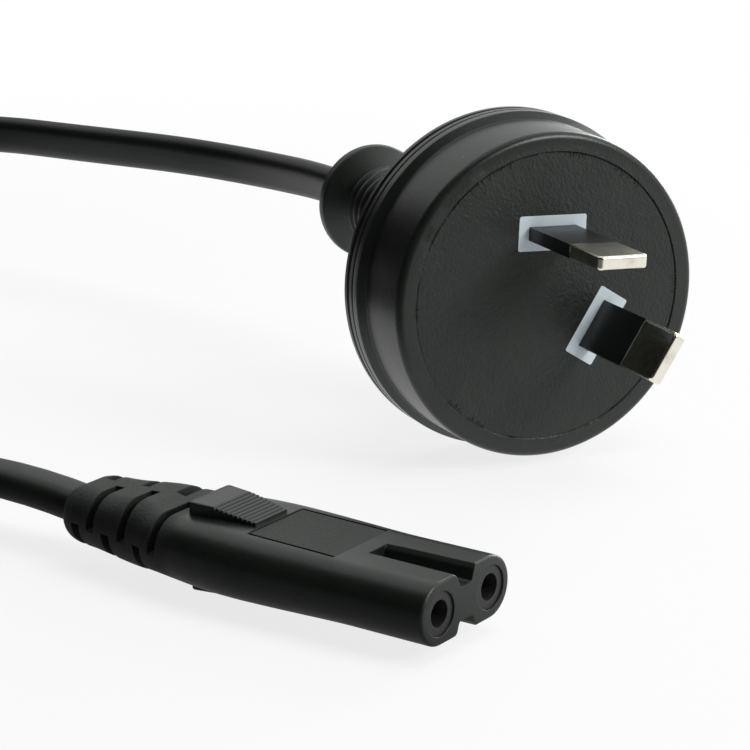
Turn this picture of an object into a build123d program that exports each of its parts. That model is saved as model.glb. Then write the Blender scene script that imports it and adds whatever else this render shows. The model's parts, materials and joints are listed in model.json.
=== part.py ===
# Two-core appliance lead: a round-faced two-pin wall plug, a flat cord put away as a tied coil, and
# a figure-eight appliance connector. Millimetres, +Z up. The lead lies on the surface Z = 0, and the
# origin is on that surface, under the middle of the box round the plug and the connector.
# The plug and the connector are each drawn in a frame of their own, with the mating face at z = 0
# and the mating direction +z, and are then put in place on the surface.
import os
from math import acos, cos, pi, radians, sin, tan

from build123d import *

# Flat two-core cord
cord_width = 5.8
cord_thick = 3.6
core_d = 2.4
core_pitch = 2.6
core_bend_r = 3.0
core_straight = 3.5
core_tail = 2.5
wire_d = 1.1

# Plug body: round face, side wall, finger rim, dome and neck, as distances behind the face
face_r = 20.1
face_edge_r = 0.9
seam_inset = 2.4
seam_r = face_r - seam_inset
seam_width = 0.3
seam_depth = 0.12
wall_draft = 0.1
wall_r = face_r + wall_draft
wall_end = 8.7
rim_proud = 0.9
rim_r = wall_r + rim_proud
rim_front = wall_end + rim_proud
rim_back = 13.3
rim_edge_r = 0.45
rim_groove_at = (10.9, 12.15)
rim_groove_width = (0.35, 0.7)
rim_groove_depth = (0.25, 0.45)
dome_r = 13.4
dome_end = 21.6
neck_start = 30.6
neck_r = 5.0
rib_r = 5.75
rib_pitch = 1.66
rib_crest = 0.6
rib_root = 0.5
flange_r = 7.9
flange_root = 47.6
flange_front = 49.9
flange_back = 51.9
flange_edge_r = 0.75
cuff_end = 54.8
cuff_wall = 0.5
plug_entry = 36.0

# Pins, their sleeves and the white bridge that carries them
pin_circle_r = 7.92
pin_angle_active = 150.0
pin_angle_neutral = 30.0
pin_width = 6.35
pin_thick = 1.63
pin_length = 17.1
pin_corner_r = 0.5
pin_tip_edge_r = 0.3
sleeve_length = 10.0
shank_width = 5.5
shank_thick = 0.85
collar_width = 9.1
collar_thick = 4.3
collar_corner_r = 0.3
bridge_front = 5.5
bridge_back = 9.0
bridge_width = 27.0
bridge_height = 15.0
bridge_corner_r = 3.0
crimp_front = 10.5
crimp_length = 6.5
crimp_wall = 0.8
strip_length = 1.5

# Connector body: half widths and half heights at distances behind the face
nose_half_width = 7.6
nose_half_height = 3.3
nose_length = 9.0
nose_edge_r = 0.35
body_sections = (
    (nose_length, nose_half_width, nose_half_height),
    (13.0, 7.72, 3.32),
    (18.0, 7.95, 3.42),
    (24.5, 8.1, 3.55),
    (31.0, 7.6, 3.54),
    (37.0, 6.7, 3.48),
    (43.0, 5.75, 3.42),
    (47.6, 5.0, 3.32),
    (49.0, 4.7, 3.12),
    (49.8, 4.25, 2.7),
    (50.1, 3.8, 2.3),
)
boot_end = body_sections[-1][0]
socket_pitch = 8.6
socket_r = 1.4
socket_recess = 0.2
socket_land = 3.0
socket_lip = socket_recess + socket_land
carrier_tube_r = 2.3
carrier_web_front = 16.0
carrier_web_back = 19.0
carrier_web_width = 13.0
carrier_web_height = 4.8
contact_r = 1.65
contact_bore_r = 1.2
contact_setback = 0.6
contact_crimp_front = 19.5
contact_crimp_length = 4.5
contact_crimp_wall = 0.65
contact_front = socket_lip + contact_setback
connector_entry = 34.0

# Keying notches in the nose, as half widths and depths
notch_length = 10.7
notch_rear_scale = 0.85
notch_top_edge = 1.6
notch_top_floor = 0.95
notch_top_depth = 1.65
notch_base_edge = 1.7
notch_base_floor = 1.15
notch_base_depth = 1.45
notch_floor_r = 0.4
notch_rim = 0.45
notch_rim_r = 0.6

# Bare label panel, set off by a groove at its sides and back
panel_front = 12.7
panel_back = 23.9
panel_half_width = 4.65
panel_groove = 0.3
panel_depth = 0.25
panel_corner_r = 0.4

# Finger grips: a ribbed ramp above the body, the same below
grip_front = 24.3
grip_ridge = 29.7
grip_back = 32.8
grip_front_height = 3.95
grip_ridge_height = 4.8
grip_back_height = 4.9
grip_front_half = 2.6
grip_back_half = 3.4
grip_ribs = 9
grip_rib_depth = 0.28
grip_corner_r = 0.5
grip_edge_r = 0.25

# Slots of the bend relief
slot_width = 1.25
slot_rings = (34.8, 39.85, 44.9)
slot_rings_between = (37.35, 42.4, 47.4)
slot_core_width = 7.4
slot_core_thick = 4.7
slot_top_reach = -0.2
slot_side_reach = 0.3
slot_short_from = 0.9
slot_short_side = 0.0

# Places on the surface. Headings turn from +X towards -Y, and a negative pitch lowers the face.
# Each end rests on its own lowest edge.
plug_at = (18.31, 9.79)
plug_heading = 65.34
plug_pitch = -1.5
plug_spin = -61.96
connector_at = (6.29, -54.81)
connector_heading = 36.5
connector_pitch = -0.6
connector_spin = 2.5

# Route of the cord, by hand: along the plug's axis, then over to the coil, and from the coil to the
# connector. The first and last points of each run come from the ends it joins.
plug_lead = 11.2
plug_route = (
    (-19.4, 84.4, 23.8),
    (-32.2, 94.6, 24.2),
    (-47.2, 106.8, 23.8),
    (-66.8, 122.9, 23.4),
    (-86.1, 128.2, 21.4),
    (-105.7, 124.2, 17.4),
    (-120.5, 112.3, 12.8),
    (-128.8, 96.3, 9.4),
    (-132.9, 80.9, 8.9),
)
connector_lead = 12.0
connector_route = (
    (-59.6, -8.3, 4.3),
    (-75.3, -1.7, 2.0),
    (-91.3, 4.1, 2.0),
)

# Tied coil on the surface: turns side by side in two layers
coil_at = (-100.4, 49.4)
coil_turn_r = 33.2
coil_pitch = 4.2
coil_columns = 4
coil_slack = 0.3
plug_stub = 22.0
connector_stub = 24.0
tie_thick = 0.8
tie_arc = 14.0
tie_angle = 60.0


def bent_route(points):
    """Radii of the arcs at the inner points of a route: as wide as the shorter run allows."""
    radii = []
    for before, at, after in zip(points[:-2], points[1:-1], points[2:]):
        run_in = Vector(at) - Vector(before)
        run_out = Vector(after) - Vector(at)
        turn = acos(run_in.normalized().dot(run_out.normalized()))
        radii.append(0.45 * min(run_in.length, run_out.length) / tan(turn / 2))
    return radii


def seat(at, height, heading, pitch, spin):
    """Plane of a mating face: its normal is the mating direction."""
    out = Vector(
        cos(radians(pitch)) * cos(radians(heading)),
        -cos(radians(pitch)) * sin(radians(heading)),
        sin(radians(pitch)),
    )
    up = (Vector(0, 0, 1) - out * out.Z).normalized()
    side = up.cross(out)
    across = side * cos(radians(spin)) + up * sin(radians(spin))
    return Plane(origin=(at[0], at[1], height), x_dir=across, z_dir=out)


plug_height = rim_r * cos(radians(plug_pitch)) + rim_front * sin(radians(plug_pitch))
plug_seat = seat(plug_at, plug_height, plug_heading, plug_pitch, plug_spin)
grip_drop = grip_back_height * cos(radians(connector_spin)) + grip_back_half * sin(radians(connector_spin))
connector_height = grip_drop * cos(radians(connector_pitch)) + grip_back * sin(radians(connector_pitch))
connector_seat = seat(connector_at, connector_height, connector_heading, connector_pitch, connector_spin)


def pin_seat(angle):
    """Plane at a pin's middle on the face, with x along the pin's width."""
    turn = radians(angle)
    middle = (pin_circle_r * cos(turn), pin_circle_r * sin(turn), 0)
    return Plane(origin=middle, x_dir=(-sin(turn), cos(turn), 0), z_dir=(0, 0, 1))


pin_seats = {"active": pin_seat(pin_angle_active), "neutral": pin_seat(pin_angle_neutral)}
core_side = {"active": -1, "neutral": 1}
contact_seats = {
    pole: Plane(origin=(core_side[pole] * socket_pitch / 2, 0, 0), z_dir=(0, 0, 1)) for pole in core_side
}


def blade_pin(at):
    """Flat pin: bare tip, thinner shank through the sleeve, crimp barrel behind the bridge."""
    with BuildPart() as pin:
        with BuildSketch(at.offset(sleeve_length)):
            Rectangle(pin_width, pin_thick)
        extrude(amount=pin_length - sleeve_length)
        tip = pin.faces().sort_by(Axis.Z)[-1]
        fillet(tip.edges().sort_by(SortBy.LENGTH)[:2], pin_corner_r)
        tip = pin.faces().sort_by(Axis.Z)[-1]
        fillet(tip.edges().sort_by(SortBy.LENGTH)[-2:], pin_tip_edge_r)
        with BuildSketch(at.offset(-crimp_front)):
            Rectangle(shank_width, shank_thick)
        extrude(amount=crimp_front + sleeve_length)
        with BuildSketch(at.offset(-crimp_front - crimp_length)):
            Circle(wire_d / 2 + crimp_wall)
        extrude(amount=crimp_length)
        with BuildSketch(at.offset(-crimp_front - crimp_length)):
            Circle(wire_d / 2)
        extrude(amount=crimp_length - strip_length, mode=Mode.SUBTRACT)
    return pin


def pin_sleeve(at):
    """Insulating sleeve round the shank, flush with the bare tip."""
    with BuildPart() as sleeve:
        with BuildSketch(at.offset(-bridge_back)):
            Rectangle(pin_width, pin_thick)
            Rectangle(shank_width, shank_thick, mode=Mode.SUBTRACT)
        extrude(amount=bridge_back + sleeve_length)
    return sleeve


def core_points(start, entry, side, lead):
    """Middle line of a core from a crimp to the end of the sheath."""
    end = side * core_pitch / 2
    return (
        (start[0], start[1], -lead),
        (start[0], start[1], -lead - core_straight),
        (end, 0, -entry + core_tail),
        (end, 0, -entry),
    )


def insulated_core(points):
    """Insulation of one core, stripped at the crimp."""
    with BuildPart() as core:
        with BuildLine() as middle_line:
            FilletPolyline(*points, radius=core_bend_r)
        with BuildSketch(Plane(origin=middle_line.line @ 0, z_dir=middle_line.line % 0)):
            Circle(core_d / 2)
            Circle(wire_d / 2, mode=Mode.SUBTRACT)
        sweep()
    return core


def conductor(points, into_crimp):
    """Copper conductor of one core, from inside the crimp to the end of the sheath."""
    with BuildPart() as wire:
        with BuildLine() as middle_line:
            FilletPolyline(*points, radius=core_bend_r)
        with BuildSketch(Plane(origin=middle_line.line @ 0, z_dir=middle_line.line % 0)):
            Circle(wire_d / 2)
        sweep()
        with BuildSketch(Plane(origin=points[0], z_dir=(0, 0, 1))):
            Circle(wire_d / 2)
        extrude(amount=into_crimp)
    return wire


# White bridge with a collar flush with the face round each pin
with BuildPart() as pin_bridge:
    with BuildSketch(Plane.XY.offset(-bridge_back)):
        with Locations((0, pin_circle_r * sin(radians(pin_angle_neutral)))):
            RectangleRounded(bridge_width, bridge_height, bridge_corner_r)
    extrude(amount=bridge_back - bridge_front)
    for at in pin_seats.values():
        with BuildSketch(at.offset(-bridge_front)):
            RectangleRounded(collar_width, collar_thick, collar_corner_r)
        extrude(amount=bridge_front)
    for at in pin_seats.values():
        with BuildSketch(at.offset(-bridge_back)):
            Rectangle(pin_width, pin_thick)
        extrude(amount=bridge_back, mode=Mode.SUBTRACT)

pins = {pole: blade_pin(at) for pole, at in pin_seats.items()}
sleeves = {pole: pin_sleeve(at) for pole, at in pin_seats.items()}
plug_cores = {}
plug_wires = {}
for pole, at in pin_seats.items():
    crimp_back = crimp_front + crimp_length
    middle = core_points(tuple(at.origin), plug_entry, core_side[pole], crimp_back + strip_length)
    plug_cores[pole] = insulated_core(middle)
    plug_wires[pole] = conductor(middle, crimp_length)

# End of the cord moulded into the plug
with BuildPart() as plug_cord_end:
    with BuildSketch(Plane.XY.offset(-cuff_end)):
        SlotOverall(cord_width, cord_thick)
    extrude(amount=cuff_end - plug_entry)

# Plug over-mould: one turned outline from the face to the end flange, and an oval cuff round the cord
outline = [(0, 0), (seam_r - seam_width / 2, 0), (seam_r, -seam_depth), (seam_r + seam_width / 2, 0)]
outline += [(face_r, 0), (wall_r, -wall_end), (rim_r, -rim_front)]
for groove_at, groove_width, groove_depth in zip(rim_groove_at, rim_groove_width, rim_groove_depth):
    outline.append((rim_r, -groove_at + groove_width / 2))
    outline.append((rim_r - groove_depth, -groove_at))
    outline.append((rim_r, -groove_at - groove_width / 2))
outline.append((rim_r, -rim_back))
rib_side = (rib_pitch - rib_crest - rib_root) / 2
rib_count = int((flange_root - neck_start) / rib_pitch)
ribs = [(neck_r, -neck_start)]
for rib in range(rib_count):
    top = neck_start + rib_root / 2 + rib * rib_pitch
    ribs.append((neck_r, -top))
    ribs.append((rib_r, -top - rib_side))
    ribs.append((rib_r, -top - rib_side - rib_crest))
    ribs.append((neck_r, -top - 2 * rib_side - rib_crest))
tail = [(neck_r, -flange_root), (flange_r, -flange_front), (flange_r, -flange_back), (0, -flange_back)]

with BuildPart() as plug_body:
    with BuildSketch(Plane.XZ) as turned:
        with BuildLine():
            Polyline(*outline)
            Spline(
                (rim_r, -rim_back),
                (dome_r, -dome_end),
                (neck_r, -neck_start),
                tangents=((-0.8, -0.6), (-0.25, -0.97)),
            )
            Polyline(*ribs, *tail)
            Line((0, -flange_back), (0, 0))
        make_face()
        corners = turned.vertices()
        fillet(corners.sort_by_distance((face_r, 0))[0], face_edge_r)
        fillet(corners.sort_by_distance((rim_r, -rim_back))[0], rim_edge_r)
        fillet(corners.sort_by_distance((flange_r, -flange_front))[0], flange_edge_r)
        fillet(corners.sort_by_distance((flange_r, -flange_back))[0], flange_edge_r)
    revolve(axis=Axis.Z)
    with BuildSketch(Plane.XY.offset(-cuff_end)):
        SlotOverall(cord_width + 2 * cuff_wall, cord_thick + 2 * cuff_wall)
    extrude(amount=cuff_end - flange_back)
    add(pin_bridge.part, mode=Mode.SUBTRACT)
    add(plug_cord_end.part, mode=Mode.SUBTRACT)
    for pole in pin_seats:
        add(pins[pole].part, mode=Mode.SUBTRACT)
        add(sleeves[pole].part, mode=Mode.SUBTRACT)
        add(plug_cores[pole].part, mode=Mode.SUBTRACT)
        add(plug_wires[pole].part, mode=Mode.SUBTRACT)

# Contact carrier: two socket tubes that show as rings just inside the face, on one web
with BuildPart() as contact_carrier:
    with BuildSketch(Plane.XY.offset(-carrier_web_back)):
        SlotOverall(carrier_web_width, carrier_web_height)
    extrude(amount=carrier_web_back - carrier_web_front)
    for at in contact_seats.values():
        with BuildSketch(at.offset(-carrier_web_front)):
            Circle(carrier_tube_r)
        extrude(amount=carrier_web_front - socket_recess)
    for at in contact_seats.values():
        with BuildSketch(at.offset(-socket_lip)):
            Circle(socket_r)
        extrude(amount=socket_lip, mode=Mode.SUBTRACT)
        with BuildSketch(at.offset(-carrier_web_back)):
            Circle(contact_r)
        extrude(amount=carrier_web_back - socket_lip, mode=Mode.SUBTRACT)


def socket_contact(at):
    """Tubular contact behind the socket's lip, closed at the back, with a crimp barrel."""
    with BuildPart() as contact:
        with BuildSketch(at.offset(-contact_crimp_front)):
            Circle(contact_r)
        extrude(amount=contact_crimp_front - contact_front)
        with BuildSketch(at.offset(-carrier_web_front)):
            Circle(contact_bore_r)
        extrude(amount=carrier_web_front - contact_front, mode=Mode.SUBTRACT)
        with BuildSketch(at.offset(-contact_crimp_front - contact_crimp_length)):
            Circle(wire_d / 2 + contact_crimp_wall)
        extrude(amount=contact_crimp_length)
        with BuildSketch(at.offset(-contact_crimp_front - contact_crimp_length)):
            Circle(wire_d / 2)
        extrude(amount=contact_crimp_length, mode=Mode.SUBTRACT)
    return contact


contacts = {pole: socket_contact(at) for pole, at in contact_seats.items()}
connector_cores = {}
connector_wires = {}
for pole, at in contact_seats.items():
    crimp_back = contact_crimp_front + contact_crimp_length
    middle = core_points(tuple(at.origin), connector_entry, core_side[pole], crimp_back + strip_length)
    connector_cores[pole] = insulated_core(middle)
    connector_wires[pole] = conductor(middle, strip_length + contact_crimp_length)

# End of the cord moulded into the connector
with BuildPart() as connector_cord_end:
    with BuildSketch(Plane.XY.offset(-boot_end)):
        SlotOverall(cord_width, cord_thick)
    extrude(amount=boot_end - connector_entry)

# Finger grip: plan outline standing on the body, cut to the ramp, rounded at the back, with ribs across
# the ramp
rib_step = (grip_ridge - grip_front) / (grip_ribs + 0.5)
with BuildPart() as grip:
    with BuildSketch(Plane.XZ) as grip_plan:
        Polygon(
            (-grip_front_half, -grip_front),
            (grip_front_half, -grip_front),
            (grip_back_half, -grip_back),
            (-grip_back_half, -grip_back),
            align=None,
        )
        fillet(grip_plan.vertices().sort_by(Axis.Y)[:2], grip_corner_r)
    extrude(amount=-grip_back_height)
    with BuildSketch(Plane.YZ):
        Polygon(
            (nose_half_height / 2, -grip_front),
            (grip_front_height, -grip_front),
            (grip_ridge_height, -grip_ridge),
            (grip_back_height, -grip_back),
            (nose_half_height / 2, -grip_back),
            align=None,
        )
    extrude(amount=grip_back_half, both=True, mode=Mode.INTERSECT)
    grip_top = grip.faces().sort_by(Axis.Y)[-1]
    fillet(grip_top.edges().sort_by(Axis.Z)[:-1], grip_edge_r)
    with BuildSketch(Plane.YZ):
        for rib in range(grip_ribs):
            along = grip_front + (rib + 0.75) * rib_step
            climb = (along - grip_front) / (grip_ridge - grip_front)
            height = grip_front_height + climb * (grip_ridge_height - grip_front_height)
            Polygon(
                (height - grip_rib_depth, -along),
                (height + grip_rib_depth, -along + rib_step / 2),
                (height + grip_rib_depth, -along - rib_step / 2),
                align=None,
            )
    extrude(amount=grip_back_half, both=True, mode=Mode.SUBTRACT)


def notch_outline(edge, floor, depth, scale, side):
    """Keying notch across the nose: opened out at the edge, narrow and rounded at its floor."""
    rim = side * (nose_half_height + nose_edge_r)
    knee = side * (nose_half_height - notch_rim)
    base = side * (nose_half_height - depth * scale)
    knee_half = edge * scale - (edge - floor) / depth * notch_rim
    rim_half = knee_half + notch_rim + nose_edge_r
    Polygon(
        (-rim_half, rim),
        (rim_half, rim),
        (knee_half, knee),
        (floor * scale, base),
        (-floor * scale, base),
        (-knee_half, knee),
        align=None,
    )


def top_height(behind):
    """Half height of the body at a distance behind the face."""
    for (start, _, low), (end, _, high) in zip(body_sections[:-1], body_sections[1:]):
        if start <= behind <= end:
            return low + (high - low) * (behind - start) / (end - start)
    return nose_half_height


# Plane of the label panel, which follows the slope of the top
panel_run = panel_back - panel_front
panel_rise = top_height(panel_back) - top_height(panel_front)
panel_length = Vector(panel_run, panel_rise).length
panel_plane = Plane(
    origin=(0, (top_height(panel_front) + top_height(panel_back)) / 2, -(panel_front + panel_back) / 2),
    x_dir=(1, 0, 0),
    z_dir=(0, panel_run, panel_rise),
)

# Connector over-mould
with BuildPart() as connector_body:
    with BuildSketch(Plane.XY.offset(-nose_length)):
        SlotOverall(2 * nose_half_width, 2 * nose_half_height)
    extrude(amount=nose_length)
    fillet(connector_body.faces().sort_by(Axis.Z)[-1].edges(), nose_edge_r)
    for behind, half_width, half_height in body_sections:
        with BuildSketch(Plane.XY.offset(-behind)):
            SlotOverall(2 * half_width, 2 * half_height)
    loft()
    for edge, floor, depth, side in (
        (notch_top_edge, notch_top_floor, notch_top_depth, 1),
        (notch_base_edge, notch_base_floor, notch_base_depth, -1),
    ):
        for behind, scale in ((0, 1.0), (notch_length, notch_rear_scale)):
            with BuildSketch(Plane.XY.offset(-behind)) as notch:
                notch_outline(edge, floor, depth, scale, side)
                fillet(notch.vertices().sort_by(Axis.Y)[::side][2:4], notch_rim_r)
                fillet(notch.vertices().sort_by(Axis.Y)[::side][:2], notch_floor_r)
        loft(mode=Mode.SUBTRACT)
    with BuildSketch(panel_plane.offset(-panel_depth)):
        RectangleRounded(2 * panel_half_width, panel_length, panel_corner_r)
        with Locations((0, -panel_groove)):
            Rectangle(2 * (panel_half_width - panel_groove), panel_length, mode=Mode.SUBTRACT)
    extrude(amount=4 * panel_depth, mode=Mode.SUBTRACT)
    add(grip.part)
    add(grip.part, rotation=(0, 0, 180))
    for behind in slot_rings:
        for turn in (0, 180):
            with BuildSketch(Plane.XY.rotated((0, 0, turn)).offset(-behind - slot_width / 2)):
                with Locations((slot_top_reach, -slot_side_reach)):
                    Rectangle(4 * nose_half_width, 4 * nose_half_height, align=(Align.MAX, Align.MIN))
                SlotOverall(slot_core_width, slot_core_thick, mode=Mode.SUBTRACT)
            extrude(amount=slot_width, mode=Mode.SUBTRACT)
    for behind in slot_rings_between:
        for turn in (0, 180):
            with BuildSketch(Plane.XY.rotated((0, 0, turn)).offset(-behind - slot_width / 2)):
                with Locations((slot_short_from, slot_short_side)):
                    Rectangle(4 * nose_half_width, 4 * nose_half_height, align=(Align.MIN, Align.MIN))
                SlotOverall(slot_core_width, slot_core_thick, mode=Mode.SUBTRACT)
            extrude(amount=slot_width, mode=Mode.SUBTRACT)
    add(contact_carrier.part, mode=Mode.SUBTRACT)
    for at in contact_seats.values():
        with BuildSketch(at.offset(-socket_recess)):
            Circle(carrier_tube_r)
        extrude(amount=socket_recess, mode=Mode.SUBTRACT)
        with BuildSketch(at.offset(-socket_lip)):
            Circle(socket_r)
        extrude(amount=socket_lip, mode=Mode.SUBTRACT)
    add(connector_cord_end.part, mode=Mode.SUBTRACT)
    for pole, at in contact_seats.items():
        with BuildSketch(at.offset(-carrier_web_front)):
            Circle(contact_r)
        extrude(amount=carrier_web_front - socket_lip, mode=Mode.SUBTRACT)
        add(contacts[pole].part, mode=Mode.SUBTRACT)
        add(connector_cores[pole].part, mode=Mode.SUBTRACT)
        add(connector_wires[pole].part, mode=Mode.SUBTRACT)

# Everything drawn at a mating face is put in place on the surface
plug_pieces = {"plug_body": plug_body, "pin_bridge": pin_bridge}
connector_pieces = {"connector_body": connector_body, "contact_carrier": contact_carrier}
for pole in core_side:
    plug_pieces["pin_" + pole] = pins[pole]
    plug_pieces["pin_sleeve_" + pole] = sleeves[pole]
    plug_pieces["plug_core_" + pole] = plug_cores[pole]
    plug_pieces["plug_wire_" + pole] = plug_wires[pole]
    connector_pieces["contact_" + pole] = contacts[pole]
    connector_pieces["connector_core_" + pole] = connector_cores[pole]
    connector_pieces["connector_wire_" + pole] = connector_wires[pole]
for pieces, at in ((plug_pieces, plug_seat), (connector_pieces, connector_seat)):
    for piece in pieces.values():
        piece.part.locate(at.location)
plug_cord_end.part.locate(plug_seat.location)
connector_cord_end.part.locate(connector_seat.location)

# Cord runs: the moulded end, then straight stretches and arcs to the coil
plug_exit = plug_seat.from_local_coords((0, 0, -cuff_end))
plug_points = [plug_exit, plug_seat.from_local_coords((0, 0, -cuff_end - plug_lead))]
plug_points += [Vector(point) for point in plug_route]
plug_radii = bent_route(plug_points)
with BuildPart() as cord_plug_run:
    add(plug_cord_end.part)
    with BuildLine():
        FilletPolyline(*plug_points, radius=plug_radii)
    with BuildSketch(Plane(origin=plug_exit, x_dir=plug_seat.x_dir, z_dir=-plug_seat.z_dir)):
        SlotOverall(cord_width, cord_thick)
    sweep()

connector_exit = connector_seat.from_local_coords((0, 0, -boot_end))
connector_points = [connector_exit, connector_seat.from_local_coords((0, 0, -boot_end - connector_lead))]
connector_points += [Vector(point) for point in connector_route]
connector_radii = bent_route(connector_points)
with BuildPart() as cord_connector_run:
    add(connector_cord_end.part)
    with BuildLine():
        FilletPolyline(*connector_points, radius=connector_radii)
    with BuildSketch(
        Plane(origin=connector_exit, x_dir=connector_seat.x_dir, z_dir=-connector_seat.z_dir)
    ):
        SlotOverall(cord_width, cord_thick)
    sweep()
print("arc radii from the plug", [round(radius) for radius in plug_radii])
print("arc radii from the connector", [round(radius) for radius in connector_radii])
section_area = (cord_width - cord_thick) * cord_thick + pi * cord_thick**2 / 4
for run in (cord_plug_run, cord_connector_run):
    print("cord run length by volume", round(run.part.volume / section_area, 1))

# Coil: outer shape of the wound turns, with the two ends of the cord leaving it, and its tie
coil_half = (coil_columns - 1) * coil_pitch / 2 + cord_thick / 2 + coil_slack
coil_height = 2 * cord_width
coil_plane = Plane(origin=(coil_at[0], coil_at[1], 0), x_dir=(1, 0, 0), z_dir=(0, -1, 0))
coil_axis = Axis((coil_at[0], coil_at[1], 0), (0, 0, 1))
tie_turn = radians(tie_angle - tie_arc / 2)
tie_plane = Plane(
    origin=(coil_at[0], coil_at[1], 0),
    x_dir=(cos(tie_turn), sin(tie_turn), 0),
    z_dir=(sin(tie_turn), -cos(tie_turn), 0),
)

with BuildPart() as coil_tie:
    with BuildSketch(tie_plane):
        with Locations((coil_turn_r, 0)):
            Rectangle(
                2 * (coil_half + tie_thick), coil_height + tie_thick, align=(Align.CENTER, Align.MIN)
            )
        with Locations((coil_turn_r, tie_thick)):
            Rectangle(
                2 * coil_half,
                coil_height - tie_thick,
                align=(Align.CENTER, Align.MIN),
                mode=Mode.SUBTRACT,
            )
    revolve(axis=coil_axis, revolution_arc=tie_arc)

plug_run_end = cord_plug_run.faces().sort_by_distance(plug_points[-1])[0]
connector_run_end = cord_connector_run.faces().sort_by_distance(connector_points[-1])[0]
with BuildPart() as cord_coil:
    with BuildSketch(coil_plane):
        with Locations((coil_turn_r, 0)):
            Rectangle(2 * coil_half, coil_height, align=(Align.CENTER, Align.MIN))
    revolve(axis=coil_axis)
    extrude(plug_run_end, amount=plug_stub)
    extrude(connector_run_end, amount=connector_stub)
    add(coil_tie.part, mode=Mode.SUBTRACT)

pieces = {**plug_pieces, **connector_pieces}
pieces["cord_plug_run"] = cord_plug_run
pieces["cord_coil"] = cord_coil
pieces["cord_connector_run"] = cord_connector_run
pieces["coil_tie"] = coil_tie

os.makedirs("parts", exist_ok=True)
for name, piece in pieces.items():
    piece.part.label = name
    export_step(piece.part, "parts/" + name + ".step")
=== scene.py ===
import json
import math

import bmesh
import bpy
import numpy as np
from mathutils import Matrix, Vector


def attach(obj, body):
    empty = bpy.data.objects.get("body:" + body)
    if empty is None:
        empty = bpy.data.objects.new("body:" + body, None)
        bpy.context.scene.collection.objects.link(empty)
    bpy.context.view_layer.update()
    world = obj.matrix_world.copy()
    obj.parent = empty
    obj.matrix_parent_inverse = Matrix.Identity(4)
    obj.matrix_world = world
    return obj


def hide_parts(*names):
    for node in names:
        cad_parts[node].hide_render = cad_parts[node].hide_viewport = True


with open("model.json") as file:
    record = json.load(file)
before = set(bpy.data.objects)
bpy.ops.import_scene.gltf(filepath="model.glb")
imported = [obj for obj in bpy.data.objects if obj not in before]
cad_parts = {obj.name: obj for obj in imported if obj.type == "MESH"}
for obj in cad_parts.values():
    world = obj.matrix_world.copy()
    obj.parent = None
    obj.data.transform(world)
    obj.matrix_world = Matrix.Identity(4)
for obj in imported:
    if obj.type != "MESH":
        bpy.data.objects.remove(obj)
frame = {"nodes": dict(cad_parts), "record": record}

# Two-core appliance lead on a table. The plug's body, its flash, the cord and the strap are made here,
# and every other piece is the solid itself with a finish.
# Lengths are in millimetres, as in the solids, and MM turns them into metres. Angles are in degrees.
MM = 0.001
UP = Vector((0, 0, 1))
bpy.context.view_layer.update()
nodes = frame["nodes"]

# Plug: radii and distances behind its face
FACE_R, FACE_EDGE_R = 20.1, 0.9
WALL_R, WALL_END, WALL_ROOT_R = 20.2, 8.7, 0.5
RIM_R, RIM_FRONT, RIM_BACK = 21.1, 9.6, 13.3
RIM_FRONT_EDGE_R, RIM_BACK_EDGE_R = 0.22, 0.45
RIM_TURN = (0.8, 0.6)
DOME_R, DOME_AT, DOME_STEPS = 13.4, 21.6, 12
NECK_R, NECK_START, NECK_WAY = 5.0, 30.6, (-0.25, -0.97)
NECK_BEND_FROM, NECK_LIFT = 26.0, 1.9
RIB_R, RIB_PITCH, RIB_CREST, RIB_ROOT = 5.75, 1.66, 0.6, 0.5
RIB_CREST_EDGE_R, RIB_ROOT_EDGE_R = 0.16, 0.1
FLANGE_R, FLANGE_ROOT, FLANGE_FRONT, FLANGE_BACK = 7.9, 47.6, 49.9, 51.9
FLANGE_ROOT_R, FLANGE_FRONT_EDGE_R, FLANGE_BACK_EDGE_R = 0.8, 0.7, 0.8
BODY_TURNS = 180
PIN_CIRCLE_R, PIN_ANGLES = 7.92, (150.0, 30.0)
COLLAR_WIDTH, COLLAR_THICK, COLLAR_DEPTH = 9.1, 4.3, 5.5

# Grooves of the rim: place, width and depth
RIM_GROOVES = ((10.9, 0.35, 0.25), (12.15, 0.7, 0.45))
GROOVE_EDGE_R, GROOVE_ROOT_R = 0.06, 0.08

# Parting ring of the face. The lean is its added depth for each millimetre along X, Y and Z.
SEAM_R, SEAM_WIDTH, SEAM_DEPTH = 17.7, 0.28, 0.13
SEAM_LEAN = (0.0035, 0.0015, 0.001)
SEAM_WANDER, SEAM_WANDER_SIZE, SEAM_REACH = 0.3, 3.5, 0.03

# Connector: distances behind its face, and what it rests on
BOOT_FRONT, BOOT_END = 33.4, 50.1
PANEL_FRONT, PANEL_BACK, PANEL_HALF, PANEL_LOW = 12.7, 23.9, 4.65, 2.8
GRIP_HEIGHT, GRIP_HALF, GRIP_BACK = 4.9, 3.4, 32.8

# Places of the two ends, as in the solids
PLUG_AT, PLUG_HEADING, PLUG_PITCH, PLUG_SPIN = (18.31, 9.79), 65.34, -1.5, -61.96
CONNECTOR_AT, CONNECTOR_HEADING = (6.29, -54.81), 36.5
CONNECTOR_PITCH, CONNECTOR_SPIN = -0.6, 2.5


def mating_frame(at, height, heading, pitch, spin):
    """Place of a mating face: its z axis is the mating direction."""
    h, p, s = math.radians(heading), math.radians(pitch), math.radians(spin)
    out = Vector((math.cos(p) * math.cos(h), -math.cos(p) * math.sin(h), math.sin(p)))
    up = (UP - out * out.z).normalized()
    side = up.cross(out)
    x = side * math.cos(s) + up * math.sin(s)
    place = Matrix((x, out.cross(x), out)).transposed().to_4x4()
    place.translation = Vector((at[0], at[1], height)) * MM
    return place


def height_on_table(down, back, pitch):
    """Height of a mating face whose end rests on a point so far below its axis and behind the face."""
    return down * math.cos(math.radians(pitch)) + back * math.sin(math.radians(pitch))


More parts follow.
